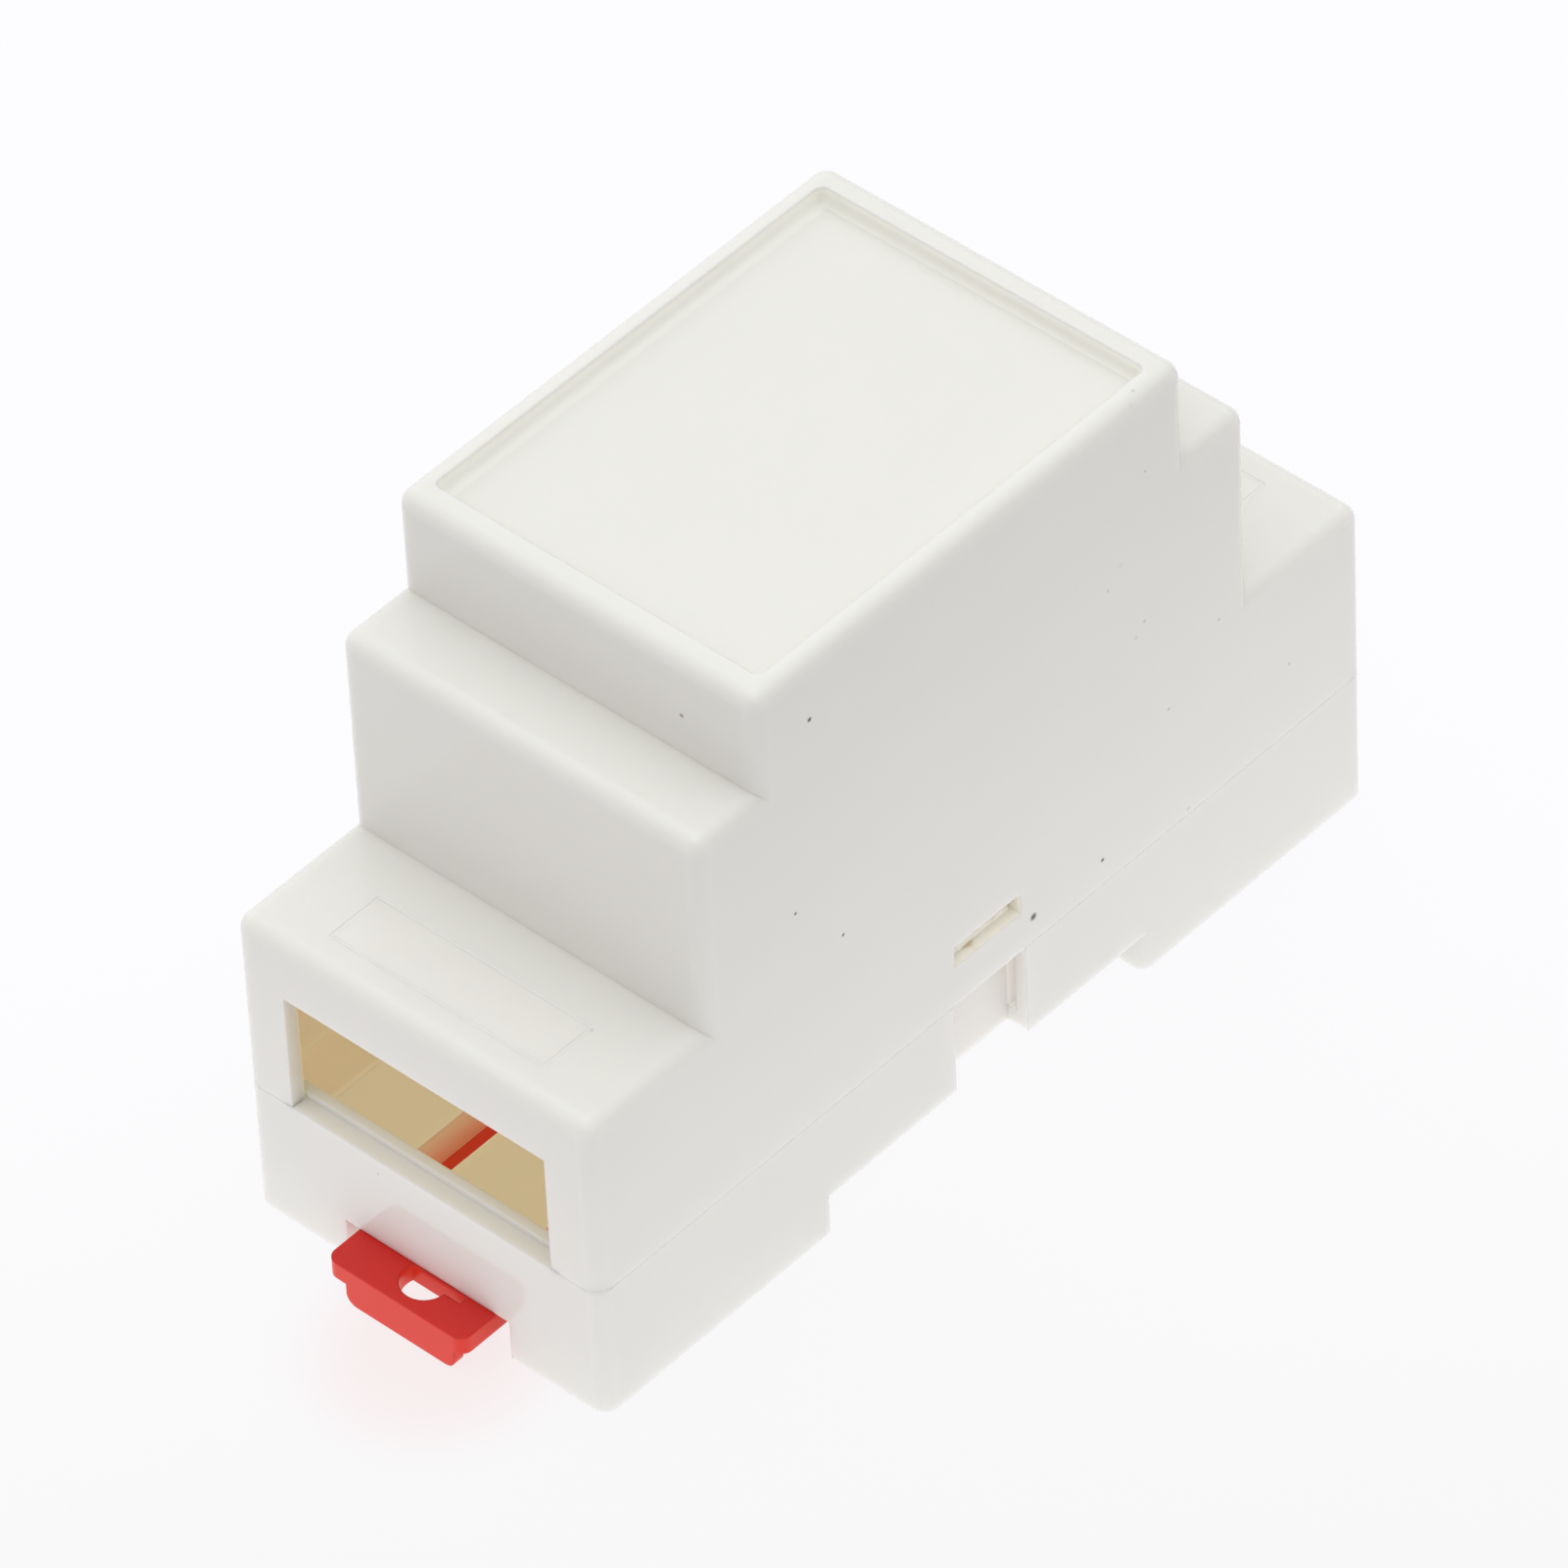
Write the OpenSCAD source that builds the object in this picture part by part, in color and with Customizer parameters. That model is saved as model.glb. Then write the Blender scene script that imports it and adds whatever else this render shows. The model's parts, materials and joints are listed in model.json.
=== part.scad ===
// Two-module enclosure for a 35 mm top-hat rail: a stepped cover, snapped on a base
// that carries a sliding rail clip. The origin is where the rail's middle line meets the
// plane of the rail seat. +X runs along the length, away from the clip's tab, +Y runs
// along the rail and +Z points up, away from the rail.

/* [Housing] */
// Length of the housing, end wall to end wall
housing_l = 88; // [80:1:110]
// Width of the housing, along the rail
housing_w = 36; // [32:0.5:72]
// Height from the underside of the feet to the top face
housing_h = 59; // [56:0.5:75]
// Height of the two low ledges over the cable windows
ledge_h = 30.2; // [27:0.2:36]
// Depth of each ledge, from the end wall to the shoulder's wall
ledge_run = 13.1; // [9:0.1:16]
// Height of the two shoulders
shoulder_h = 49.5; // [42:0.5:52]
// Depth of each shoulder, from its wall to the top block's wall
shoulder_run = 6.9; // [4:0.1:9]
// Radius of the outer edges of the cover and of the upright edges of the base
edge_r = 1.4; // [0.6:0.1:2.5]
// Wall of the cover
cover_wall = 1.4; // [1.2:0.1:2.5]

/* [Label recess] */
// Width of the rim at the two ends of the recess
rim_end = 2.4; // [1.8:0.1:5]
// Width of the rim along the two long sides
rim_side = 1.8; // [1.6:0.1:5]
// Depth of the recess for a label or a front plate
recess_depth = 1.6; // [0.4:0.1:2.5]
// Radius of the corners and of the lower edges of the recess
recess_edge_r = 0.7; // [0.2:0.1:1.2]

/* [Cable windows] */
// Width of the window in each end wall
window_w = 26.4; // [10:0.2:28]
// Height of the window above the joint with the base
window_h = 11.5; // [6:0.1:13]

/* [Knock-out panels] */
// Length of the thinned panel in each ledge, across the housing
knockout_l = 21.7; // [10:0.1:26]
// Width of the panel, along the housing
knockout_w = 5.5; // [3:0.1:7]
// Distance of the panel from the end face
knockout_edge = 3; // [2.5:0.1:3.5]
// Wall left in the panel
knockout_wall = 0.8; // [0.5:0.1:1.1]
// Width of the witness line round the panel
witness_w = 0.2; // [0.1:0.05:0.4]
// Depth of the witness line
witness_depth = 0.05; // [0.05:0.05:0.2]

/* [Base] */
// Height of the joint between base and cover
joint_h = 12.8; // [11:0.1:14.5]
// Side walls of the base
base_wall = 1.2; // [1:0.1:2.5]
// End walls of the base, with the lip
base_end_wall = 2.4; // [2.2:0.1:3.5]
// Thickness of the base's floor, over the rail and the feet
floor_t = 1.5; // [1.2:0.1:3]
// Height of the locating lips and ribs that stand up inside the cover
lip_h = 0.6; // [0.4:0.1:2]
// Clearance between the lips and the cover
lip_clearance = 0.1; // [0.05:0.05:0.3]
// Thickness of the locating ribs on the side walls
rib_t = 1.2; // [0.8:0.1:2]
// Spacing of the locating ribs
rib_spacing = 17; // [15:0.5:26]
// Height of the shadow groove at the joint
groove_h = 0.05; // [0.05:0.05:0.4]
// Depth of the shadow groove
groove_depth = 0.05; // [0.05:0.05:0.3]
// Wall round the cored feet
foot_wall = 1.5; // [1.2:0.1:2.5]
// Ribs across the rear foot
foot_rib = 1.2; // [0.8:0.1:2]
// Radius of the upright edges of the feet beside the rail
foot_edge_r = 1; // [0.5:0.1:1.4]

/* [Rail] */
// Width of the rail over its flanges
rail_w = 35; // [35:1:35]
// Thickness of the rail's flanges
rail_flange_t = 1; // [0.8:0.1:1.5]
// Gap between the rail and each foot
rail_side_gap = 0.3; // [0.2:0.05:1.2]
// How far the rail's middle line lies off the housing's middle, towards the tab
rail_offset = 0.35; // [0:0.05:1]
// Height of the rail seat above the underside of the feet
seat_h = 3.85; // [3.7:0.05:4.5]
// Gap between the rail's flange and the hooks that hold it
rail_hook_gap = 0.2; // [0.1:0.05:0.4]
// How far the fixed hook reaches under the rail
hook_reach = 2; // [1.5:0.1:3]
// Width of the fixed hook
hook_w = 24; // [12:1:28]

/* [Snap catches] */
// Width of the notch in the base, in front of each tongue
notch_w = 8.3; // [7:0.1:12]
// How far the tongue runs on behind the wall, on each side of the notch
tongue_overlap = 1.5; // [0.5:0.1:2]
// Gap between the cover's wall and the tongue behind it
tongue_gap = 0.7; // [0.4:0.1:1]
// Thickness of the tongue
tongue_t = 1.2; // [0.8:0.1:1.6]
// Width of the slot in the cover
slot_w = 7.6; // [7:0.1:11]
// Height of the slot
slot_h = 2.1; // [1.6:0.1:3]
// Height of the slot's lower edge
slot_z = 16.7; // [15:0.1:18]
// Clearance between the catch and the slot's lower edge
catch_clearance = 0.15; // [0.05:0.05:0.3]
// How far the catch stops short of the cover's outer face
catch_recess = 0.9; // [0.3:0.05:1]
// Clearance between the catch and each end of the slot
catch_side_gap = 0.5; // [0.2:0.1:1]
// Height of the catch's upright nose below its ramp
catch_nose_h = 0.45; // [0.2:0.05:0.8]

/* [Board posts] */
// Spacing of the posts along the length
post_spacing_x = 48; // [42:0.5:52]
// Spacing of the posts across the width
post_spacing_y = 23; // [16:0.5:25]
// Diameter of the posts
post_d = 5; // [4:0.1:6]
// Height of the posts above the floor
post_h = 5; // [3:0.5:7]
// Diameter of the pilot holes for self-tapping screws
pilot_d = 2.2; // [1.6:0.1:3]
// Depth of the pilot holes
pilot_depth = 5; // [3:0.5:5.5]

/* [Rail clip] */
// Width of the clip
clip_w = 14; // [13:0.5:17]
// Thickness of the clip's plate
clip_t = 1.65; // [1.2:0.05:2]
// How far the tab sticks out of the housing
tab_reach = 3.75; // [3:0.05:6]
// Radius of the tab's corners
tab_corner_r = 1; // [0.4:0.1:1.5]
// Thickness of the finger lip under the tab
finger_lip_t = 1; // [0.8:0.1:1.5]
// Width of the finger lip
finger_lip_w = 11.1; // [8:0.1:12]
// How far the finger lip and the tool hole lie off the clip's middle line
tab_offset = 0.5; // [0:0.1:1]
// Height of the finger lip above the underside of the feet
finger_lip_z = 0.15; // [0.05:0.05:0.6]
// Diameter of the D-shaped hole for a screwdriver's tip
tool_hole_d = 4; // [3:0.1:4.5]
// Distance of the hole's centre from the housing's end face
tool_hole_x = 0.8; // [0.5:0.1:1]
// Distance of the hole's flat side from the housing's end face
tool_hole_flat = 0.2; // [0.1:0.1:0.6]
// Reach of the slot for a flat blade, from the hole's middle along its flat side
tool_slot_l = 3.6; // [2.5:0.1:5]
// Width of that slot
tool_slot_w = 0.65; // [0.4:0.05:1]
// How far the clip pulls out to let go of the rail
clip_travel = 3.5; // [2.5:0.1:4]
// How far the nose reaches under the rail
nose_reach = 1.9; // [1.2:0.1:2.2]
// Width of the nose
nose_w = 11; // [8:0.5:12]
// Thickness of the nose at its tip
nose_tip_t = 0.9; // [0.6:0.1:1.2]
// Thickness of the nose at its root
nose_t = 1.8; // [1.3:0.1:2]
// Length of the stop block behind the nose
block_l = 3.5; // [2.5:0.1:5]
// Clearance above and below the clip's plate
clip_clearance = 0.1; // [0.05:0.05:0.2]
// Gap beside the nose in the foot's cross wall
nose_side_gap = 0.4; // [0.2:0.05:0.6]
// Room beside the clip on each side of its channel
clip_play = 1.4; // [0.7:0.05:1.6]
// Width of the guide lips under the clip's edges
guide_w = 3.6; // [2.5:0.1:4.5]
// Thickness of the guide lips
guide_t = 1.2; // [0.8:0.1:1.5]
// Distance of the guide lips from the end face
guide_x = 3; // [2.5:0.1:5]

/* [Hidden] */
$fn = 64;
over = 1;                     // how far a cutter runs past the face it cuts

mid_x = housing_l / 2;
mid_y = housing_w / 2;
rail_x = mid_x - rail_offset;
top_x = ledge_run + shoulder_run;
lip_outer = cover_wall + lip_clearance;
floor_z = seat_h + floor_t;

recess_l = rail_w + 2 * rail_side_gap;
front_foot_end = rail_x - recess_l / 2;
rear_foot_start = rail_x + recess_l / 2;
hook_top = seat_h - rail_flange_t - rail_hook_gap;

plate_top = seat_h - clip_clearance;
plate_bottom = plate_top - clip_t;
channel_w = clip_w + 2 * clip_play;
nose_tip_x = rail_x - rail_w / 2 + nose_reach;
block_end = front_foot_end - foot_wall - clip_clearance;
block_start = block_end - block_l;
guide_end = block_start - clip_travel - 2 * clip_clearance;
nose_opening_w = nose_w + 2 * nose_side_gap;

tongue_y = cover_wall + tongue_gap;
tongue_w = notch_w + 2 * tongue_overlap;
catch_w = slot_w - 2 * catch_side_gap;
catch_bottom = slot_z + catch_clearance;
catch_top = slot_z + slot_h;

// Puts what is built from the housing's corner into the rail's frame.
module in_rail_frame() {
    translate([-rail_x, -mid_y, -seat_h]) children();
}

// Repeats what is built at one end, or on one side, at the other.
module at_both_ends() {
    children();
    translate([housing_l, 0, 0]) mirror([1, 0, 0]) children();
}

module on_both_sides() {
    children();
    translate([0, housing_w, 0]) mirror([0, 1, 0]) children();
}

// Rectangle with round corners, from its lower left corner.
module rounded_rect(l, w, r) {
    translate([r, 0]) square([l - 2 * r, w]);
    translate([0, r]) square([l, w - 2 * r]);
    for (x = [r, l - r], y = [r, w - r]) translate([x, y]) circle(r);
}

// Block with round upright edges, round top edges and ball corners.
module rounded_block(l, w, h, r) {
    linear_extrude(h - r) rounded_rect(l, w, r);
    translate([r, r, h - 2 * r]) cube([l - 2 * r, w - 2 * r, 2 * r]);
    for (x = [r, l - r]) translate([x, r, h - r]) rotate([-90, 0, 0]) cylinder(r = r, h = w - 2 * r);
    for (y = [r, w - r]) translate([r, y, h - r]) rotate([0, 90, 0]) cylinder(r = r, h = l - 2 * r);
    for (x = [r, l - r], y = [r, w - r]) translate([x, y, h - r]) sphere(r);
}

// What has to go to round a corner at the origin, with the body in the first quadrant.
module corner_waste(r) {
    difference() {
        translate([-over, -over]) square(r + over);
        translate([r, r]) circle(r);
    }
}

// ---- Cover ----

module cover_outside() {
    rounded_block(housing_l, housing_w, ledge_h, edge_r);
    translate([ledge_run, 0, 0])
        rounded_block(housing_l - 2 * ledge_run, housing_w, shoulder_h, edge_r);
    translate([top_x, 0, 0])
        rounded_block(housing_l - 2 * top_x, housing_w, housing_h, edge_r);
}

// The stepped hollow, one wall in from every outer face.
module cover_hollow() {
    top_inside = housing_h - recess_depth - cover_wall;
    for (step = [[0, ledge_h - cover_wall], [ledge_run, shoulder_h - cover_wall], [top_x, top_inside]])
        translate([step[0] + cover_wall, cover_wall, joint_h - over])
            cube([
                housing_l - 2 * (step[0] + cover_wall),
                housing_w - 2 * cover_wall,
                step[1] - joint_h + over
            ]);
}

module label_recess() {
    translate([top_x + rim_end, rim_side, housing_h + over]) mirror([0, 0, 1])
        rounded_block(
            housing_l - 2 * (top_x + rim_end),
            housing_w - 2 * rim_side,
            recess_depth + over,
            recess_edge_r
        );
}

module window() {
    translate([-over, mid_y - window_w / 2, joint_h - over])
        cube([cover_wall + 2 * over, window_w, window_h + over]);
}

// A thinned panel that can be broken out of the ledge, with its witness line outside.
module knockout() {
    translate([knockout_edge, mid_y - knockout_l / 2, ledge_h - witness_depth])
        linear_extrude(witness_depth + over)
            difference() {
                square([knockout_w, knockout_l]);
                translate([witness_w, witness_w])
                    square([knockout_w - 2 * witness_w, knockout_l - 2 * witness_w]);
            }
    translate([knockout_edge, mid_y - knockout_l / 2, ledge_h - cover_wall - over])
        cube([knockout_w, knockout_l, over + cover_wall - knockout_wall]);
}

module catch_slot() {
    translate([mid_x - slot_w / 2, -over, slot_z])
        cube([slot_w, cover_wall + 2 * over, slot_h]);
}

module cover() {
    color("ivory") in_rail_frame() difference() {
        cover_outside();
        translate([-over, -over, -over])
            cube([housing_l + 2 * over, housing_w + 2 * over, joint_h + over]);
        cover_hollow();
        label_recess();
        at_both_ends() {
            window();
            knockout();
        }
        on_both_sides() catch_slot();
    }
}

// ---- Base ----

module inset_plan(inset, r) {
    translate([inset, inset])
        rounded_rect(housing_l - 2 * inset, housing_w - 2 * inset, r);
}

module base_outside() {
    linear_extrude(joint_h - groove_h) inset_plan(0, edge_r);
    linear_extrude(joint_h) inset_plan(groove_depth, edge_r - groove_depth);
    translate([lip_outer, lip_outer, 0])
        cube([housing_l - 2 * lip_outer, housing_w - 2 * lip_outer, joint_h + lip_h]);
}

// Recess for the rail between the feet, whose upright edges beside it are round.
module rail_recess() {
    translate([0, 0, -over]) linear_extrude(seat_h + over) {
        translate([front_foot_end, -over]) square([recess_l, housing_w + 2 * over]);
        on_both_sides() {
            translate([front_foot_end, 0]) mirror([1, 0]) corner_waste(foot_edge_r);
            translate([rear_foot_start, 0]) corner_waste(foot_edge_r);
        }
    }
}

// Room above the floor, round the locating ribs on the side walls.
module base_hollow() {
    difference() {
        translate([base_end_wall, base_wall, floor_z])
            cube([housing_l - 2 * base_end_wall, housing_w - 2 * base_wall, joint_h]);
        on_both_sides()
            for (i = [-1.5 : 1.5])
                translate([mid_x + i * rib_spacing - rib_t / 2, 0, 0])
                    cube([rib_t, base_end_wall, joint_h + lip_h + over]);
    }
}

// Pockets cored out of the feet from below, so that no wall is thick.
module foot_pockets() {
    side_w = (housing_w - channel_w) / 2 - 2 * foot_wall;
    on_both_sides()
        translate([foot_wall, foot_wall, -over])
            cube([front_foot_end - 2 * foot_wall, side_w, seat_h + over]);

    rear_l = housing_l - rear_foot_start - 2 * foot_wall;
    bay_w = (housing_w - 2 * foot_wall - 2 * foot_rib) / 3;
    for (bay = [0 : 2])
        translate([rear_foot_start + foot_wall, foot_wall + bay * (bay_w + foot_rib), -over])
            cube([rear_l, bay_w, seat_h + over]);
}

// The clip's way through the front foot, and the two slits above its guide lips.
module clip_channel() {
    translate([-over, mid_y - channel_w / 2, -over])
        cube([front_foot_end - foot_wall + over, channel_w, seat_h + over]);
    translate([0, mid_y - nose_opening_w / 2, -over])
        cube([front_foot_end + over, nose_opening_w, hook_top + clip_clearance + over]);
    on_both_sides()
        translate([guide_x, mid_y - channel_w / 2, 0])
            cube([guide_end - guide_x, guide_w, floor_z + over]);
}

module guide_lips() {
    on_both_sides()
        translate([guide_x, mid_y - channel_w / 2, plate_bottom - clip_clearance - guide_t])
            cube([guide_end - guide_x, guide_w, guide_t]);
}

// Fixed hook on the rear foot, which the rail's far flange slips under.
module fixed_hook() {
    translate([rear_foot_start, mid_y + hook_w / 2, 0]) rotate([90, 0, 0])
        linear_extrude(hook_w)
            polygon([
                [foot_wall, 0],
                [0, 0],
                [-hook_reach, hook_top - nose_tip_t],
                [-hook_reach, hook_top],
                [foot_wall, hook_top]
            ]);
}

module catch_notch() {
    translate([mid_x - notch_w / 2, -over, seat_h - over])
        cube([notch_w, tongue_y + over, joint_h + lip_h]);
    translate([mid_x - notch_w / 2, -over, floor_z])
        cube([notch_w, base_wall + 2 * over, joint_h + lip_h]);
}

// Springy tongue that stands up behind the walls, and its catch in the cover's slot.
module tongue() {
    translate([mid_x - tongue_w / 2, tongue_y, seat_h])
        cube([tongue_w, tongue_t, catch_top - seat_h]);
    translate([mid_x - catch_w / 2, 0, 0]) rotate([90, 0, 90])
        linear_extrude(catch_w)
            polygon([
                [catch_recess, catch_bottom],
                [catch_recess, catch_bottom + catch_nose_h],
                [tongue_y, catch_top],
                [tongue_y + tongue_t / 2, catch_top],
                [tongue_y + tongue_t / 2, catch_bottom]
            ]);
}

module at_posts() {
    for (x = [-1, 1], y = [-1, 1])
        translate([mid_x + x * post_spacing_x / 2, mid_y + y * post_spacing_y / 2, floor_z])
            children();
}

module base() {
    color("white") in_rail_frame() difference() {
        union() {
            difference() {
                base_outside();
                rail_recess();
                base_hollow();
                foot_pockets();
                clip_channel();
                on_both_sides() catch_notch();
            }
            guide_lips();
            fixed_hook();
            on_both_sides() tongue();
            at_posts() cylinder(d = post_d, h = post_h);
        }
        at_posts() translate([0, 0, post_h - pilot_depth]) cylinder(d = pilot_d, h = pilot_depth + over);
    }
}

// ---- Rail clip ----

// Side view of the clip: plate, stop block and the nose that holds the rail.
module clip_side_view() {
    polygon([
        [-tab_reach, plate_bottom],
        [-tab_reach, plate_top],
        [block_end, plate_top],
        [block_end, hook_top],
        [nose_tip_x, hook_top],
        [nose_tip_x, hook_top - nose_tip_t],
        [front_foot_end, hook_top - nose_t],
        [block_start, hook_top - nose_t],
        [block_start, plate_bottom]
    ]);
}

// View of the clip from above: wide plate with round tab corners, and narrow nose.
module clip_plan() {
    translate([-tab_reach, -clip_w / 2])
        rounded_rect(block_end + tab_reach - tab_corner_r, clip_w, tab_corner_r);
    translate([0, -clip_w / 2]) square([block_end, clip_w]);
    translate([0, -nose_w / 2]) square([nose_tip_x, nose_w]);
}

// D-shaped hole in the tab with a slot along its flat side, for pulling the clip out
// with a screwdriver.
module tool_hole() {
    translate([-tool_hole_flat - tool_slot_w, -tool_slot_l, 0])
        cube([tool_slot_w, tool_slot_l, seat_h]);
    difference() {
        translate([-tool_hole_x, 0, 0]) cylinder(d = tool_hole_d, h = seat_h);
        translate([-tool_hole_flat, -tool_hole_d, -over])
            cube([tool_hole_d, 2 * tool_hole_d, seat_h + 2 * over]);
    }
}

module finger_lip() {
    translate([-tab_reach, -finger_lip_w / 2 - tab_offset, finger_lip_z])
        rotate([90, 0, 90]) linear_extrude(finger_lip_t) difference() {
            square([finger_lip_w, plate_bottom + clip_t / 2 - finger_lip_z]);
            corner_waste(tab_corner_r);
            translate([finger_lip_w, 0]) mirror([1, 0]) corner_waste(tab_corner_r);
        }
}

module rail_clip() {
    color("red") in_rail_frame() translate([0, mid_y, 0]) {
        difference() {
            intersection() {
                linear_extrude(seat_h) clip_plan();
                translate([0, clip_w / 2, 0]) rotate([90, 0, 0])
                    linear_extrude(clip_w) clip_side_view();
            }
            translate([0, -tab_offset, 0]) tool_hole();
        }
        finger_lip();
    }
}

cover();
base();
rail_clip();
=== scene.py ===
import json
import math

import bpy
from bpy.props import FloatProperty, FloatVectorProperty, PointerProperty
from mathutils import Matrix, Vector


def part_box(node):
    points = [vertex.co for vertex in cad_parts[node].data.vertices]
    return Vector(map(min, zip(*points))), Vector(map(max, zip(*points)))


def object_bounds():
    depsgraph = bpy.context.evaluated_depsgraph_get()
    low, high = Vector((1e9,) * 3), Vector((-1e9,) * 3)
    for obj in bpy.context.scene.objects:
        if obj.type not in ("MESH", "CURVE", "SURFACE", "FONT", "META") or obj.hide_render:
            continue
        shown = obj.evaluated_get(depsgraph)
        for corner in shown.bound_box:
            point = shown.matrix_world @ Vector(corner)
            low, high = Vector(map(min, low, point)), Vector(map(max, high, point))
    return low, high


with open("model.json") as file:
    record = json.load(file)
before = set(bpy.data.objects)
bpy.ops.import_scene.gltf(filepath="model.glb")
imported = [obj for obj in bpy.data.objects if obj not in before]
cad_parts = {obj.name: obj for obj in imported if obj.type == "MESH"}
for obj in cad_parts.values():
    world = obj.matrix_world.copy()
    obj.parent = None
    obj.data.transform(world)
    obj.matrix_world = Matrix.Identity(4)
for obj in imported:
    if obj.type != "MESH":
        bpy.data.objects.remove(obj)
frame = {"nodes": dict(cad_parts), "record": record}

bl_info = {
    "name": "Rail Enclosure",
    "version": (1, 0, 0),
    "blender": (4, 5, 0),
    "location": "View3D > Sidebar > Enclosure",
    "description": "Finishes the stepped enclosure and its rail clip, and sets them on a studio floor",
    "category": "Object",
}

CAD_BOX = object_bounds()
MM = 0.001
BLACK = (0.0, 0.0, 0.0)
PLASTIC_REFRACTION = 1.5


# ---- Sizes and colours ----

class EnclosurePlastic(bpy.types.PropertyGroup):
    """Looks of the white moulded plastic of the cover and the base."""
    colour: FloatVectorProperty(
        name="Colour", description="Colour of the white plastic",
        subtype="COLOR", size=3, min=0, max=1, default=(0.80, 0.80, 0.755))
    # Painted shade: the walls of the hollows take this warm colour in place of their shade and of the warm
    # light that comes through the ivory walls.
    inside_shade_colour: FloatVectorProperty(
        name="Inside colour", description="Warm colour of the walls on the inside",
        subtype="COLOR", size=3, min=0, max=1, default=(0.72, 0.55, 0.27))
    inside_glow: FloatProperty(
        name="Inside glow", description="Light that comes through the walls into the hollow",
        min=0, max=1, default=0.2)
    # Painted light that lifts the shade in the groove of the joint.
    joint_glow: FloatProperty(
        name="Joint glow", description="Light that comes through the joint of cover and base",
        min=0, max=1, default=0.235)
    slit_glow: FloatVectorProperty(
        name="Slit glow", description="Light on the walls beside the clip, away from it",
        subtype="COLOR", size=3, min=0, max=1, default=(0.18, 0.17, 0.11))
    clip_glow: FloatVectorProperty(
        name="Clip glow", description="Colour that the red clip throws on the walls beside it",
        subtype="COLOR", size=3, min=0, max=1, default=(0.31, 0.09, 0.045))
    roughness: FloatProperty(
        name="Roughness", description="Roughness of the polished outside",
        min=0, max=1, default=0.07)
    translucency: FloatProperty(
        name="Translucency", description="How much of the light goes into the plastic and comes out beside",
        min=0, max=1, default=0.7)
    scatter_depth: FloatProperty(
        name="Scatter depth", description="How far light spreads inside the plastic",
        unit="LENGTH", min=0, max=0.01, default=0.0015)
    # Colour of the soft tan patches that a noise puts in the catch slots.
    slot_patch_colour: FloatVectorProperty(
        name="Stain colour", description="Colour of the stains in the catch slots",
        subtype="COLOR", size=3, min=0, max=1, default=(0.58, 0.46, 0.27))
    speck_colour: FloatVectorProperty(
        name="Speck colour", description="Colour of the dust specks in the surface",
        subtype="COLOR", size=3, min=0, max=1, default=(0.11, 0.10, 0.08))


class EnclosureClip(bpy.types.PropertyGroup):
    """Looks of the red rail clip."""
    colour: FloatVectorProperty(
        name="Colour", description="Colour of the red plastic",
        subtype="COLOR", size=3, min=0, max=1, default=(0.66, 0.008, 0.002))
    roughness: FloatProperty(
        name="Roughness", description="Roughness of the clip's satin surface",
        min=0, max=1, default=0.32)
    translucency: FloatProperty(
        name="Translucency", description="How much of the light goes into the clip and comes out beside",
        min=0, max=1, default=0.25)
    glow: FloatVectorProperty(
        name="Glow", description="Light from the floor that comes through the thin plastic",
        subtype="COLOR", size=3, min=0, max=1, default=(0.12, 0.012, 0.002))


class EnclosureStage(bpy.types.PropertyGroup):
    """Floor, light and camera round the enclosure."""
    floor_colour: FloatVectorProperty(
        name="Floor colour", description="Colour of the floor as the camera sees it, away from shadows",
        subtype="COLOR", size=3, min=0, max=1, default=(0.975, 0.975, 0.992))
    # Painted shade: the floor grows towards this darker colour in front of the enclosure.
    floor_front_shade: FloatVectorProperty(
        name="Floor in front", description="Colour of the floor between the enclosure and the camera",
        subtype="COLOR", size=3, min=0, max=1, default=(0.94, 0.93, 0.934))
    # Painted red bounce light on the floor under the clip's lip.
    floor_red_bounce: FloatVectorProperty(
        name="Floor blush", description="Colour that the red clip throws on the floor under it",
        subtype="COLOR", size=3, min=0, max=1, default=(0.93, 0.72, 0.71))
    shadow_depth: FloatProperty(
        name="Shadow depth", description="Share of the floor's brightness that a shadow takes away",
        min=0, max=1, default=0.08)
    sky_top: FloatProperty(
        name="Light above", description="Strength of the even light from above",
        min=0, max=2, default=1.05)
    sky_side: FloatProperty(
        name="Light around", description="Strength of the even light from the sides",
        min=0, max=2, default=0.62)
    sky_left: FloatProperty(
        name="Light from the left", description="Strength of the even light from the left of the clip",
        min=0, max=2, default=1.0)
    top_colour: FloatVectorProperty(
        name="Colour above", description="Colour of the light from above",
        subtype="COLOR", size=3, min=0, max=1, default=(0.975, 1.0, 1.0))
    side_colour: FloatVectorProperty(
        name="Colour around", description="Colour of the light from the sides",
        subtype="COLOR", size=3, min=0, max=1, default=(1.0, 0.93, 0.98))
    top_light: FloatProperty(
        name="Top light", description="Power of the softbox above",
        unit="POWER", min=0, default=3.87)
    bounce_colour: FloatVectorProperty(
        name="Bounce colour", description="Colour of the light that the floor throws back",
        subtype="COLOR", size=3, min=0, max=1, default=(0.972, 0.965, 1.0))
    bounce_far: FloatProperty(
        name="Far bounce", description="Light that the floor throws back away from the enclosure",
        min=0, max=2, default=0.2)
    bounce_near: FloatProperty(
        name="Near bounce", description="Light that the floor throws back round the enclosure",
        min=0, max=2, default=1.14)
    bounce_reach: FloatProperty(
        name="Bounce reach", description="Distance at which the near bounce has faded",
        unit="LENGTH", min=0, default=0.3)
    azimuth: FloatProperty(
        name="Azimuth", description="Direction of the view, from along the rail towards the length",
        subtype="ANGLE", default=math.radians(46.145))
    elevation: FloatProperty(
        name="Elevation", description="Height of the camera above the horizon, as an angle",
        subtype="ANGLE", default=math.radians(43.925))
    roll: FloatProperty(
        name="Roll", description="Tilt of the camera about its line of sight",
        subtype="ANGLE", default=math.radians(2.92))
    focal_length: FloatProperty(
        name="Focal length", description="Focal length of the camera's lens, in mm",
        min=50, max=1000, default=327.95)


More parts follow.
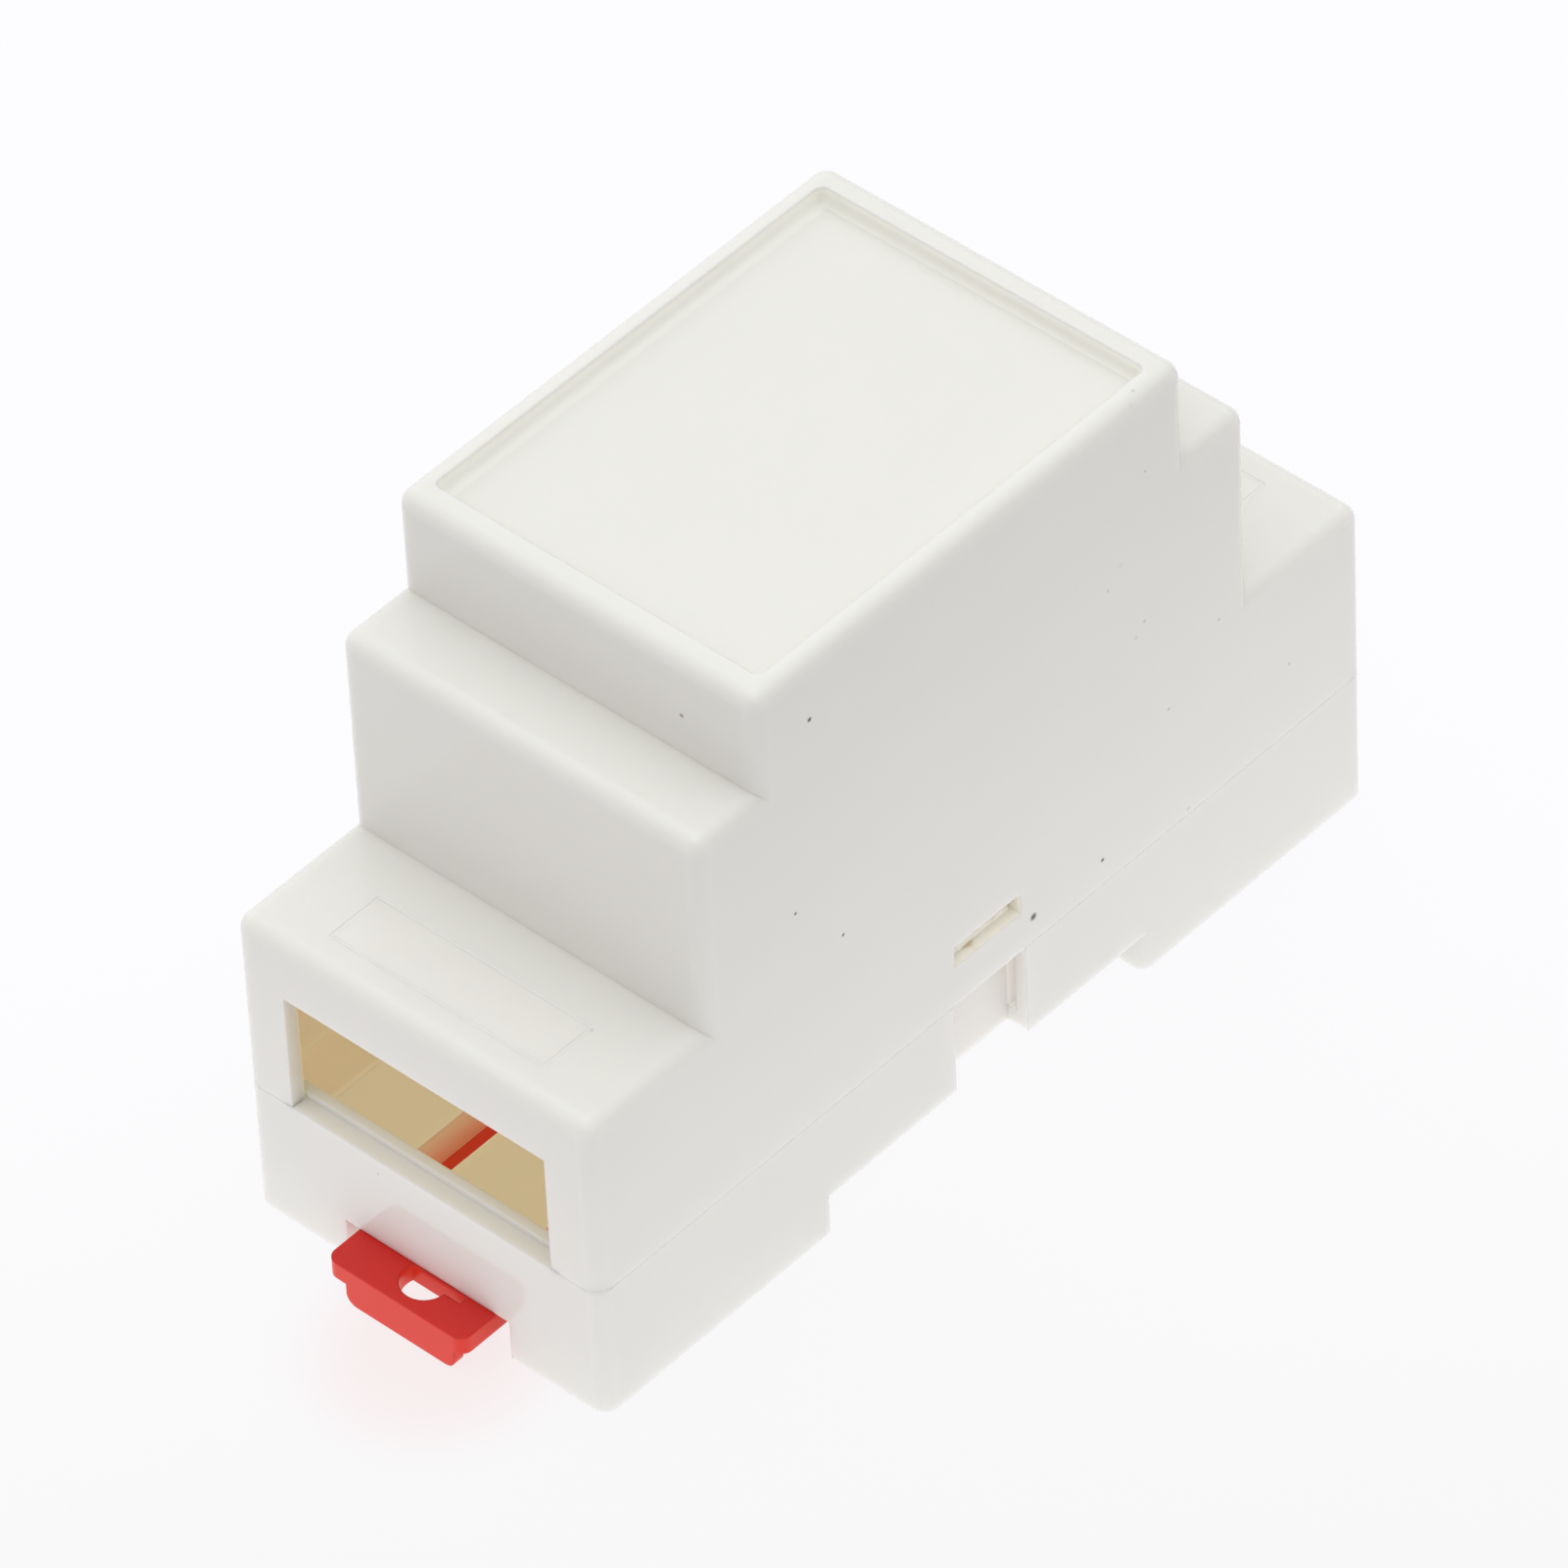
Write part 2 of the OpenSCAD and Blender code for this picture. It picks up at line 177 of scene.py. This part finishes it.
# ---- Places on the enclosure ----

def opening(name):
    """Lowest and highest corner of a hollow that the record states."""
    for room in frame["record"]["physics"]["openings"]:
        if room["name"] == name:
            return [Vector(corner) for corner in room["box_m"]]
    raise ValueError("the record has no opening " + name)


COVER_LOW, COVER_HIGH = (Vector(corner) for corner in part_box("cover"))
MIDDLE = (COVER_LOW.x + COVER_HIGH.x) / 2

# The corners that follow are in mm from the rail seat: X along the length, Y along the rail and
# Z up. They are given on the +Y side and hold for both sides, and -1 in Y takes in the middle.
CATCH_SLOT = ((-3.6, 16.0, 12.7), (4.3, 17.95, 15.3))
TONGUE_NOTCH = ((-4.2, 15.0, -3.9), (4.6, 17.95, 9.5))
TONGUE_GAP_FAR = ((4.5, 15.0, -3.9), (6.2, 16.85, 9.5))
TONGUE_GAP_TAB = ((-5.6, 15.0, -3.9), (-3.8, 16.85, 9.5))
RECESS_WALLS = ((-22.4, -1.0, 53.56), (23.1, 17.0, 54.9))
RECESS_LONG_EDGES = ((-22.4, 15.0, 52.8), (23.1, 17.6, 54.9))
KNOCKOUT_LINE_TAB = ((-42.2, -1.0, 26.1), (-30.6, 16.5, 26.34))
KNOCKOUT_LINE_FAR = ((31.3, -1.0, 26.1), (42.9, 16.5, 26.34))

# Painted light, as a glow, that stands in for light through thin plastic and lifts the shade in the
# slots, gaps, recess walls and knock-out lines: its colour, its place and the place's soft edge in mm.
PAINTED_LIGHT_PLACES = (
    ((0.12, 0.115, 0.09), CATCH_SLOT, 0.05),
    ((0.045, 0.035, 0.035), TONGUE_NOTCH, 0.05),
    ((0.16, 0.15, 0.16), TONGUE_GAP_FAR, 0.05),
    ((0.16, 0.15, 0.16), TONGUE_GAP_TAB, 0.05),
    ((0.09, 0.09, 0.07), RECESS_WALLS, 0.05),
    ((0.12, 0.12, 0.11), RECESS_LONG_EDGES, 0.8),
    ((0.075, 0.075, 0.075), KNOCKOUT_LINE_TAB, 0.03),
    ((0.075, 0.075, 0.075), KNOCKOUT_LINE_FAR, 0.03),
)

# Stretches of the joint between cover and base, with Z from the joint and their share of its
# glow, which is painted light that lifts the shade in the groove: first the rounded corners, then
# the long sides, the tab's end and the far end.
JOINT_STRETCHES = (
    (0.45, ((-43.66, 16.3, -0.1), (44.36, 18.0, 0.1))),
    (1.0, ((-42.0, 17.0, -0.1), (42.7, 17.97, 0.1))),
    (1.0, ((-43.62, 14.0, -0.1), (-42.6, 16.4, 0.1))),
    (1.0, ((43.3, 14.0, -0.1), (44.32, 16.4, 0.1))),
)
JOINT_EDGE = 0.03

# Dust specks in the surface, each with its middle and radius in mm and how dark it is.
COVER_SPECKS = (
    ((5.5, -18.0, 11.5), 0.45, 1.0),
    ((13.5, -18.0, 11.5), 0.25, 1.0),
    ((-18.0, -18.0, 49.5), 0.3, 1.0),
    ((-15.5, -18.0, 25.5), 0.2, 1.0),
    ((-20.5, -18.0, 31.5), 0.2, 1.0),
    ((-23.5, -10.5, 49.5), 0.3, 1.0),
    ((-35.5, -11.0, 26.5), 0.2, 1.0),
    ((18.5, -17.5, 54.5), 0.25, 1.0),
    ((19.5, -17.0, 55.0), 0.2, 0.3),
    ((19.0, -18.0, 32.5), 0.2, 0.35),
    ((18.0, -18.0, 31.5), 0.25, 0.15),
    ((21.5, -18.0, 21.5), 0.2, 0.35),
    ((23.5, -18.0, 9.5), 0.25, 0.2),
    ((19.5, -18.0, 47.5), 0.15, 0.4),
    ((15.0, -18.0, 38.5), 0.2, 0.3),
    ((16.5, -18.0, 40.0), 0.3, 0.1),
    ((27.5, -18.0, 26.5), 0.2, 0.3),
    ((35.5, -18.0, 16.0), 0.2, 0.3),
)
BASE_SPECKS = (((-43.5, 4.5, 7.5), 0.2, 1.0),)


# ---- Helpers for materials ----

class Recipe:
    """Node tree of a material or world, with short calls for the nodes that they need."""

    def __init__(self, owner):
        self.owner = owner
        owner.use_nodes = True
        self.tree = owner.node_tree
        self.tree.nodes.clear()

    def add(self, kind, **settings):
        node = self.tree.nodes.new("ShaderNode" + kind)
        for key, value in settings.items():
            setattr(node, key, value)
        return node

    def plug(self, value, socket):
        """Links a socket to another, or sets its own value. A colour is given without alpha."""
        if isinstance(value, bpy.types.NodeSocket):
            self.tree.links.new(value, socket)
        elif socket.type == "RGBA":
            socket.default_value = (*value, 1.0)
        else:
            socket.default_value = value

    def filled(self, kind, values, **settings):
        """Adds a node, gives its sockets their values and returns its first output."""
        node = self.add(kind, **settings)
        for name, value in values.items():
            self.plug(value, node.inputs[name])
        return node.outputs[0]

    def math(self, operation, a, b=0.0):
        return self.filled("Math", {0: a, 1: b}, operation=operation)

    def ramp(self, value, low, high, start=0.0, end=1.0):
        """Smooth step from start to end while value goes from low to high."""
        return self.filled(
            "MapRange",
            {"Value": value, "From Min": low, "From Max": high, "To Min": start, "To Max": end},
            interpolation_type="SMOOTHSTEP")

    def mix(self, amount, a, b):
        """Colour that goes from a to b."""
        node = self.add("Mix", data_type="RGBA")
        for socket, value in zip(node.inputs[0:1] + node.inputs[6:8], (amount, a, b)):
            self.plug(value, socket)
        return node.outputs[2]

    def blend(self, amount, a, b):
        """Number that goes from a to b."""
        node = self.add("Mix", data_type="FLOAT")
        for socket, value in zip(node.inputs[0:1] + node.inputs[2:4], (amount, a, b)):
            self.plug(value, socket)
        return node.outputs[0]

    def place(self):
        return self.add("TexCoord").outputs["Object"]

    def split(self, vector):
        """The X, Y and Z of a vector."""
        node = self.add("SeparateXYZ")
        self.plug(vector, node.inputs[0])
        return node.outputs

    def noise(self, place, scale, detail):
        return self.filled("TexNoise", {"Vector": place, "Scale": scale, "Detail": detail})

    def patchy(self, cloud, roughness, smoothest, roughest):
        """Roughness that goes from its smoothest to its roughest share over most of a noise."""
        return self.ramp(cloud, 0.3, 0.7, roughness * smoothest, roughness * roughest)

    def distance(self, place, point):
        node = self.add("VectorMath", operation="DISTANCE")
        self.plug(place, node.inputs[0])
        self.plug(point, node.inputs[1])
        return node.outputs["Value"]

    def bump(self, height, depth, strength, edge_radius):
        """Fine relief on a surface whose sharp edges are rounded off."""
        rounding = self.filled("Bevel", {"Radius": edge_radius}, samples=4)
        return self.filled(
            "Bump", {"Strength": strength, "Distance": depth, "Height": height, "Normal": rounding})

    def finish(self, shader, output="OutputMaterial"):
        self.tree.links.new(shader, self.add(output).inputs["Surface"])
        return self.owner


def within(recipe, place, rooms, edge=0.1 * MM):
    """1 inside any of the rooms, given by their corners, and 0 outside them."""
    axes = recipe.split(place)
    total = 0.0
    for low, high in rooms:
        share = 1.0
        for axis, start, end in zip(axes, low, high):
            share = recipe.math("MULTIPLY", share, recipe.ramp(axis, start, start + edge))
            share = recipe.math("MULTIPLY", share, recipe.ramp(axis, end - edge, end, 1.0, 0.0))
        total = recipe.math("MAXIMUM", total, share)
    return total


def in_metres(corners, height=0.0):
    """Corners that are given in mm from a height, which itself is in metres."""
    return [Vector(corner) * MM + Vector((0.0, 0.0, height)) for corner in corners]


def dress(node_name, material):
    """Gives a CAD node its material, in place of all that it had."""
    piece = frame["nodes"][node_name]
    if not piece.data.materials:
        piece.data.materials.append(material)
    for slot in piece.material_slots:
        slot.material = material


# ---- White plastic ----

# Scales of the noises, in waves a metre.
WHITE_CLOUDS = 60.0
WHITE_GRAIN = 2200.0
SLOT_PATCHES = 420.0

# Red, green and blue of the daylight inside, and the shares that are left: of the daylight above
# the floor, of the inside colour beside the clip as painted shade, and of the outside colour in its dark
# clouds.
DAYLIGHT = (1.0, 1.09, 0.88)
ABOVE_FLOOR = 0.72
SHADE_BESIDE_CLIP = 0.55
WHITE_CLOUD_SHADE = 0.975


def on_either_side(recipe, place):
    """Place whose Y grows away from the middle line, so that both sides are alike."""
    axes = recipe.split(place)
    aside = recipe.math("ABSOLUTE", axes["Y"])
    return recipe.filled("CombineXYZ", {"X": axes["X"], "Y": aside, "Z": axes["Z"]})


def glow_inside(recipe, looks, height, inside):
    """Daylight on the inside, which is strongest on the floor."""
    daylight = [looks.inside_glow * share for share in DAYLIGHT]
    floor = opening("floor_space")[0].z
    level = recipe.ramp(height, floor, floor + 0.8 * MM, 1.0, ABOVE_FLOOR)
    return recipe.mix(recipe.math("MULTIPLY", inside, level), BLACK, daylight)


def paint_light_on_places(recipe, looks, either_side, glow):
    """Puts painted light on the thin places and along the joint, to lift their shade, in place of the glow
    that is there.
    """
    for light, corners, edge in PAINTED_LIGHT_PLACES:
        thin = within(recipe, either_side, [in_metres(corners)], edge * MM)
        glow = recipe.mix(thin, glow, light)
    for share, corners in JOINT_STRETCHES:
        seam = within(recipe, either_side, [in_metres(corners, COVER_LOW.z)], JOINT_EDGE * MM)
        glow = recipe.mix(seam, glow, [looks.joint_glow * share] * 3)
    return glow


def painted_light_on_slit_walls(recipe, looks, place, slits, colour, glow):
    """Painted shade and painted red bounce light on the walls beside the red clip: their colour grows
    darker and their glow redder towards it.
    """
    beside = within(recipe, place, [slits])
    low, high = slits
    near_clip = recipe.ramp(recipe.split(place)["Z"], low.z, high.z, 1.0, 0.0)
    shade_by_clip = [channel * SHADE_BESIDE_CLIP for channel in looks.inside_shade_colour]
    colour = recipe.mix(beside, colour, recipe.mix(near_clip, looks.inside_shade_colour, shade_by_clip))
    glow = recipe.mix(beside, glow, recipe.mix(near_clip, looks.slit_glow, looks.clip_glow))
    return colour, glow


def with_slot_patches(recipe, looks, place, either_side, colour):
    """Colour with soft tan patches from a noise in the catch slots."""
    slot = within(recipe, either_side, [in_metres(CATCH_SLOT)])
    patch_share = recipe.ramp(recipe.noise(place, SLOT_PATCHES, 1.0), 0.4, 0.55)
    return recipe.mix(recipe.math("MULTIPLY", slot, patch_share), colour, looks.slot_patch_colour)


def specked(recipe, looks, place, specks, colour):
    """Colour with dust specks that fade out round their edges."""
    for point, radius, darkness in specks:
        away = recipe.distance(place, Vector(point) * MM)
        speck = recipe.ramp(away, radius * 0.2 * MM, radius * 1.1 * MM, darkness, 0.0)
        colour = recipe.mix(speck, colour, looks.speck_colour)
    return colour


def white_plastic(name, looks, specks, hollows, slits=None):
    """Polished ivory plastic that lets a little light through, with a warm painted shade on the inside.

    The slits are the room beside the red clip, whose colour shows on their walls as painted red bounce
    light over painted shade.
    """
    recipe = Recipe(bpy.data.materials.new(name))
    place = recipe.place()
    either_side = on_either_side(recipe, place)
    inside = within(recipe, place, hollows)
    cloud = recipe.noise(place, WHITE_CLOUDS, 3.0)
    shade = [channel * WHITE_CLOUD_SHADE for channel in looks.colour]
    # The hollows are painted in the warm inside shade colour, which stands in for their shade and the light
    # through the walls.
    colour = recipe.mix(inside, recipe.mix(cloud, shade, looks.colour), looks.inside_shade_colour)
    glow = glow_inside(recipe, looks, recipe.split(place)["Z"], inside)
    glow = paint_light_on_places(recipe, looks, either_side, glow)
    if slits:
        colour, glow = painted_light_on_slit_walls(recipe, looks, place, slits, colour, glow)
    colour = with_slot_patches(recipe, looks, place, either_side, colour)
    grain = recipe.noise(place, WHITE_GRAIN, 2.0)
    return recipe.finish(recipe.filled("BsdfPrincipled", {
        "Base Color": specked(recipe, looks, place, specks, colour),
        "Roughness": recipe.patchy(cloud, looks.roughness, smoothest=0.85, roughest=1.2),
        "IOR": PLASTIC_REFRACTION,
        "Subsurface Weight": looks.translucency,
        "Subsurface Radius": (1.0, 0.98, 0.9),
        "Subsurface Scale": looks.scatter_depth,
        "Normal": recipe.bump(grain, depth=0.004 * MM, strength=0.5, edge_radius=0.2 * MM),
        "Emission Color": glow,
        "Emission Strength": 1.0,
    }))


class ENCLOSURE_OT_finish_cover(bpy.types.Operator):
    """Give the cover its polished white plastic"""
    bl_idname = "enclosure.finish_cover"
    bl_label = "Finish Cover"

    def execute(self, context):
        # The stated hollows stop short of the walls, so that each grows a little into them.
        reach = 0.7 * MM
        wall = 1.2 * MM
        growth = Vector((reach, reach, reach))
        upper = (opening("shoulder_space"), opening("top_space"))
        hollows = [(low - growth, high + growth) for low, high in upper]
        ceiling = opening("board_space")[1].z + reach
        hollows.append((
            COVER_LOW + Vector((wall, wall, -wall)),
            Vector((COVER_HIGH.x - wall, COVER_HIGH.y - wall, ceiling))))
        looks = context.scene.enclosure_plastic
        dress("cover", white_plastic("White cover plastic", looks, COVER_SPECKS, hollows))
        return {"FINISHED"}


class ENCLOSURE_OT_finish_base(bpy.types.Operator):
    """Give the base its polished white plastic"""
    bl_idname = "enclosure.finish_base"
    bl_label = "Finish Base"

    def execute(self, context):
        low, high = opening("board_space")
        tab_end = low.x - 0.3 * MM
        far_end = high.x + 0.3 * MM
        bottom = opening("floor_space")[0].z - 0.4 * MM
        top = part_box("base")[1][2] - 0.7 * MM
        tongue_reach = 6.7 * MM
        between_tongues = high.y + 0.2 * MM
        between_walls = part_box("base")[1][1] - 1.0 * MM
        stretches = (
            (tab_end, far_end, between_tongues),
            (tab_end, MIDDLE - tongue_reach, between_walls),
            (MIDDLE + tongue_reach, far_end, between_walls))
        hollows = [
            (Vector((start, -half, bottom)), Vector((end, half, top)))
            for start, end, half in stretches]
        channel_half = 8.6 * MM
        slit_bottom = -2.4 * MM
        slits = (
            Vector((low.x, -channel_half, slit_bottom)),
            Vector((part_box("rail_clip")[1][0], channel_half, bottom)))
        looks = context.scene.enclosure_plastic
        dress("base", white_plastic("White base plastic", looks, BASE_SPECKS, hollows, slits))
        return {"FINISHED"}


# ---- Red plastic ----

# Scales of the noises, in waves a metre.
RED_CLOUDS = 140.0
RED_GRAIN = 1800.0

# Share of the red that is left in its dark clouds.
RED_CLOUD_SHADE = 0.88


def red_plastic(looks):
    """Satin red plastic with faint flow marks, that glows a little inside the housing and underneath."""
    recipe = Recipe(bpy.data.materials.new("Red clip plastic"))
    place = recipe.place()
    cloud = recipe.noise(place, RED_CLOUDS, 3.0)
    grain = recipe.noise(place, RED_GRAIN, 2.0)
    deep = [channel * RED_CLOUD_SHADE for channel in looks.colour]
    along = recipe.split(place)["X"]
    upwards = recipe.split(recipe.add("NewGeometry").outputs["Normal"])["Z"]
    doorway = COVER_LOW.x - 0.35 * MM
    housed = recipe.ramp(along, doorway, doorway + 1.0 * MM)
    shaded = recipe.math("MAXIMUM", housed, recipe.ramp(upwards, 0.0, 1.0, 1.0, 0.0))
    return recipe.finish(recipe.filled("BsdfPrincipled", {
        "Base Color": recipe.mix(cloud, deep, looks.colour),
        "Roughness": recipe.patchy(cloud, looks.roughness, smoothest=0.9, roughest=1.15),
        "IOR": PLASTIC_REFRACTION,
        "Subsurface Weight": looks.translucency,
        "Subsurface Radius": (1.0, 0.2, 0.1),
        "Subsurface Scale": 1.0 * MM,
        "Normal": recipe.bump(grain, depth=0.008 * MM, strength=0.6, edge_radius=0.35 * MM),
        "Emission Color": recipe.mix(shaded, BLACK, looks.glow),
        "Emission Strength": 1.0,
    }))


class ENCLOSURE_OT_finish_rail_clip(bpy.types.Operator):
    """Give the rail clip its red plastic"""
    bl_idname = "enclosure.finish_rail_clip"
    bl_label = "Finish Rail Clip"

    def execute(self, context):
        dress("rail_clip", red_plastic(context.scene.enclosure_clip))
        return {"FINISHED"}


# ---- Stage ----

# Sizes and places in metres. The floor turns from its painted front shade to its own colour while the
# sum of X and Y goes from one value to the other.
FLOOR_HALF = 3.0
FLOOR_TURN = (-0.13, 0.04)
RED_BOUNCE_REACH = (0.004, 0.013)
RED_BOUNCE_SHARE = 0.35
SOFTBOX_SIZE = 1.5
SOFTBOX_HEIGHT = 1.5
CAMERA_PLACE = Vector((-0.564245, -0.539934, 0.770792))


def floor_colour(recipe, looks, place):
    """Pale floor with painted shade that grows a little darker towards the camera, and a painted red bounce
    under the clip's lip.
    """
    axes = recipe.split(place)
    depth = recipe.math("ADD", axes["X"], axes["Y"])
    front = recipe.ramp(depth, *FLOOR_TURN, 1.0, 0.0)
    colour = recipe.mix(front, looks.floor_colour, looks.floor_front_shade)
    # Painted red bounce light from the clip, near its lip.
    clip_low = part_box("rail_clip")[0]
    lip = Vector((clip_low[0], clip_low[1] / 2, CAD_BOX[0][2]))
    blush = recipe.ramp(recipe.distance(place, lip), *RED_BOUNCE_REACH, RED_BOUNCE_SHARE, 0.0)
    return recipe.mix(blush, colour, looks.floor_red_bounce)


def floor_material(looks):
    """Matt white floor that stays pale to the camera and still takes a shadow."""
    recipe = Recipe(bpy.data.materials.new("Studio floor"))
    place = recipe.place()
    colour = floor_colour(recipe, looks, place)
    pale = recipe.filled("MixShader", {
        0: looks.shadow_depth,
        1: recipe.filled("Emission", {"Color": colour}),
        2: recipe.filled("BsdfDiffuse", {"Color": colour})})
    away = recipe.distance(place, (0.0, 0.0, 0.0))
    level = recipe.ramp(
        away, looks.bounce_reach / 3, looks.bounce_reach, looks.bounce_near, looks.bounce_far)
    bounce = recipe.filled("Emission", {"Color": looks.bounce_colour, "Strength": level})
    rays = recipe.add("LightPath")
    seen = rays.outputs["Is Camera Ray"]
    for kind in ("Is Glossy Ray", "Is Transmission Ray"):
        seen = recipe.math("MAXIMUM", seen, rays.outputs[kind])
    return recipe.finish(recipe.filled("MixShader", {0: seen, 1: bounce, 2: pale}))


def add_floor(looks):
    height = CAD_BOX[0][2]
    corners = [
        (x * FLOOR_HALF, y * FLOOR_HALF, height) for x, y in ((-1, -1), (1, -1), (1, 1), (-1, 1))]
    mesh = bpy.data.meshes.new("floor")
    mesh.from_pydata(corners, [], [(0, 1, 2, 3)])
    floor = bpy.data.objects.new("floor", mesh)
    bpy.context.scene.collection.objects.link(floor)
    mesh.materials.append(floor_material(looks))


def studio_light(looks):
    """Even light all round, strongest from above."""
    recipe = Recipe(bpy.data.worlds.new("studio"))
    axes = recipe.split(recipe.add("TexCoord").outputs["Generated"])
    above = recipe.ramp(axes["Z"], 0.3, 0.85)
    around = recipe.ramp(axes["Y"], 0.0, 0.9, looks.sky_side, looks.sky_left)
    sky = recipe.filled("Background", {
        "Color": recipe.mix(above, looks.side_colour, looks.top_colour),
        "Strength": recipe.blend(above, around, looks.sky_top)})
    return recipe.finish(sky, "OutputWorld")


def add_softbox(power):
    """Square light above the enclosure. A new light shines straight down."""
    lamp = bpy.data.lights.new("top softbox", "AREA")
    lamp.shape = "SQUARE"
    lamp.size = SOFTBOX_SIZE
    lamp.energy = power
    softbox = bpy.data.objects.new("top softbox", lamp)
    softbox.location = (0.0, 0.0, SOFTBOX_HEIGHT)
    bpy.context.scene.collection.objects.link(softbox)


def add_camera(looks):
    sight = Vector((
        math.sin(looks.azimuth) * math.cos(looks.elevation),
        math.cos(looks.azimuth) * math.cos(looks.elevation),
        -math.sin(looks.elevation)))
    right = Vector((math.cos(looks.azimuth), -math.sin(looks.azimuth), 0.0))
    up = right.cross(sight)
    lens = bpy.data.cameras.new("camera")
    lens.sensor_width = 36.0
    lens.lens = looks.focal_length
    lens.clip_end = 20.0
    camera = bpy.data.objects.new("camera", lens)
    turn = Matrix((right, up, -sight)).transposed() @ Matrix.Rotation(-looks.roll, 3, "Z")
    camera.matrix_world = Matrix.Translation(CAMERA_PLACE) @ turn.to_4x4()
    bpy.context.scene.collection.objects.link(camera)
    bpy.context.scene.camera = camera


class ENCLOSURE_OT_make_stage(bpy.types.Operator):
    """Set the floor, the studio light and the camera"""
    bl_idname = "enclosure.make_stage"
    bl_label = "Make Stage"

    def execute(self, context):
        looks = context.scene.enclosure_stage
        context.scene.view_settings.view_transform = "Standard"
        context.scene.world = studio_light(looks)
        add_floor(looks)
        add_softbox(looks.top_light)
        add_camera(looks)
        return {"FINISHED"}


# ---- Panel and registration ----

class ENCLOSURE_PT_panel(bpy.types.Panel):
    """Steps that finish the enclosure"""
    bl_idname = "ENCLOSURE_PT_panel"
    bl_label = "Rail Enclosure"
    bl_space_type = "VIEW_3D"
    bl_region_type = "UI"
    bl_category = "Enclosure"

    def draw(self, context):
        scene = context.scene
        for group in (scene.enclosure_plastic, scene.enclosure_clip, scene.enclosure_stage):
            box = self.layout.box()
            for name in group.__annotations__:
                box.prop(group, name)
        for step in STEPS:
            self.layout.operator(step.bl_idname)


GROUPS = (EnclosurePlastic, EnclosureClip, EnclosureStage)
STEPS = (
    ENCLOSURE_OT_finish_cover,
    ENCLOSURE_OT_finish_base,
    ENCLOSURE_OT_finish_rail_clip,
    ENCLOSURE_OT_make_stage,
)


def register():
    for thing in (*GROUPS, *STEPS, ENCLOSURE_PT_panel):
        bpy.utils.register_class(thing)
    bpy.types.Scene.enclosure_plastic = PointerProperty(type=EnclosurePlastic)
    bpy.types.Scene.enclosure_clip = PointerProperty(type=EnclosureClip)
    bpy.types.Scene.enclosure_stage = PointerProperty(type=EnclosureStage)


def unregister():
    del bpy.types.Scene.enclosure_stage
    del bpy.types.Scene.enclosure_clip
    del bpy.types.Scene.enclosure_plastic
    for thing in reversed((*GROUPS, *STEPS, ENCLOSURE_PT_panel)):
        bpy.utils.unregister_class(thing)


def main():
    register()
    bpy.ops.enclosure.finish_cover()
    bpy.ops.enclosure.finish_base()
    bpy.ops.enclosure.finish_rail_clip()
    bpy.ops.enclosure.make_stage()


if __name__ == "__main__":
    main()
